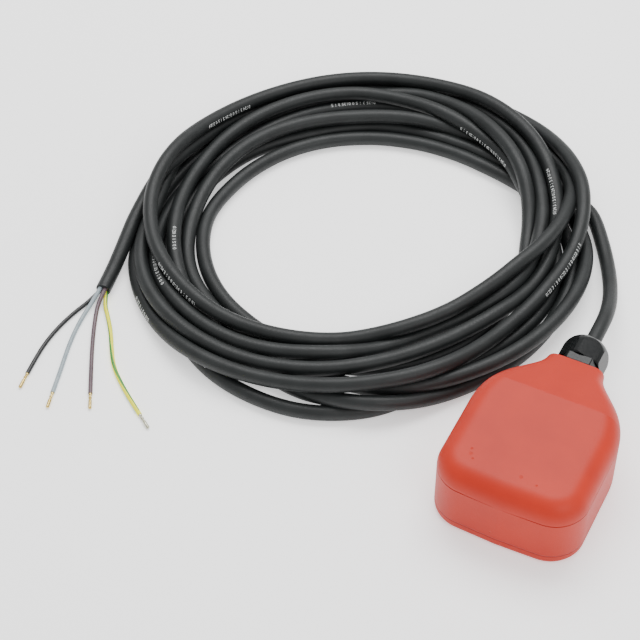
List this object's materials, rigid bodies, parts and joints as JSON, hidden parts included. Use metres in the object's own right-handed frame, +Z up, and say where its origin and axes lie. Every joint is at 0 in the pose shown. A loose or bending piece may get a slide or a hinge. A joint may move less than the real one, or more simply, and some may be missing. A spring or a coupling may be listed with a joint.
{
  "type": "cable float switch",
  "caption": "Flat red plastic float with a black cable gland, its rubber cable in a loose coil and stripped cores ending in crimped ferrules",
  "frame": {"origin": "under the middle of the float and its gland together, on the surface that they lie on", "axes": "+Y along the float towards its cable gland, +Z up, +X to the right as one looks along +Y"},
  "size_m": [0.3467, 0.3534, 0.0455],
  "materials": {
    "float_red": "satin moulded",
    "gland_black": "glossy moulded",
    "seal_rubber": "matt",
    "cable_rubber": "matt extruded",
    "core_black": "satin",
    "core_grey": "satin",
    "core_brown": "satin",
    "core_green_yellow": "satin, yellow with green stripes",
    "ferrule_brass": "crimped, bright",
    "capsule_grey": "moulded",
    "screw_steel": "plated",
    "ball_steel": "polished",
    "lever_steel": "plated",
    "switch_black": "moulded",
    "button_red": "moulded",
    "terminal_brass": "bright",
    "weight_iron": "plain cast",
    "lug_tin": "tinned"
  },
  "bodies": {
    "float": {"black_core": "core_black", "black_core_inside": "core_black", "black_ferrule": "ferrule_brass", "brown_core": "core_brown", "brown_core_inside": "core_brown", "brown_ferrule": "ferrule_brass", "cable_coil": "cable_rubber", "cable_entry": "cable_rubber", "cable_lead": "cable_rubber", "cable_tail": "cable_rubber", "capsule_base": "capsule_grey", "capsule_cover": "capsule_grey", "capsule_screws": "screw_steel", "closed_terminal": "terminal_brass", "common_terminal": "terminal_brass", "counterweight": "weight_iron", "counterweight_screws": "screw_steel", "earth_core": "core_green_yellow", "earth_core_inside": "core_green_yellow", "earth_ferrule": "ferrule_brass", "earth_lug": "lug_tin", "gland_body": "gland_black", "gland_clamp_cage": "gland_black", "gland_dome_nut": "gland_black", "gland_gasket": "seal_rubber", "gland_lock_nut": "gland_black", "gland_seal_sleeve": "seal_rubber", "grey_core": "core_grey", "grey_core_inside": "core_grey", "grey_ferrule": "ferrule_brass", "lever_pin": "screw_steel", "lower_shell": "float_red", "open_terminal": "terminal_brass", "switch_case": "switch_black", "switch_cover": "switch_black", "upper_shell": "float_red"},
    "ball": {"steel_ball": "ball_steel"},
    "lever": {"switch_lever": "lever_steel"},
    "button": {"switch_button": "button_red"}
  },
  "joints": [
    {"name": "ball_roll", "type": "slide", "parent": "float", "child": "ball", "axis": [0, 1, 0], "range_m": [0, 0.0119]},
    {"name": "lever_tilt", "type": "hinge", "parent": "float", "child": "lever", "pos_m": [-0.011, -0.0105, 0.0173], "axis": [0, 0, 1], "range_deg": [0, 6]},
    {"name": "button_press", "type": "slide", "parent": "float", "child": "button", "axis": [0, 1, 0], "range_m": [0, 0.00073], "stiffness_N_per_m": 60}
  ],
  "couplings": [
    {"joint": "lever_tilt", "follows": "button_press", "rad_per_m": 141.6}
  ]
}
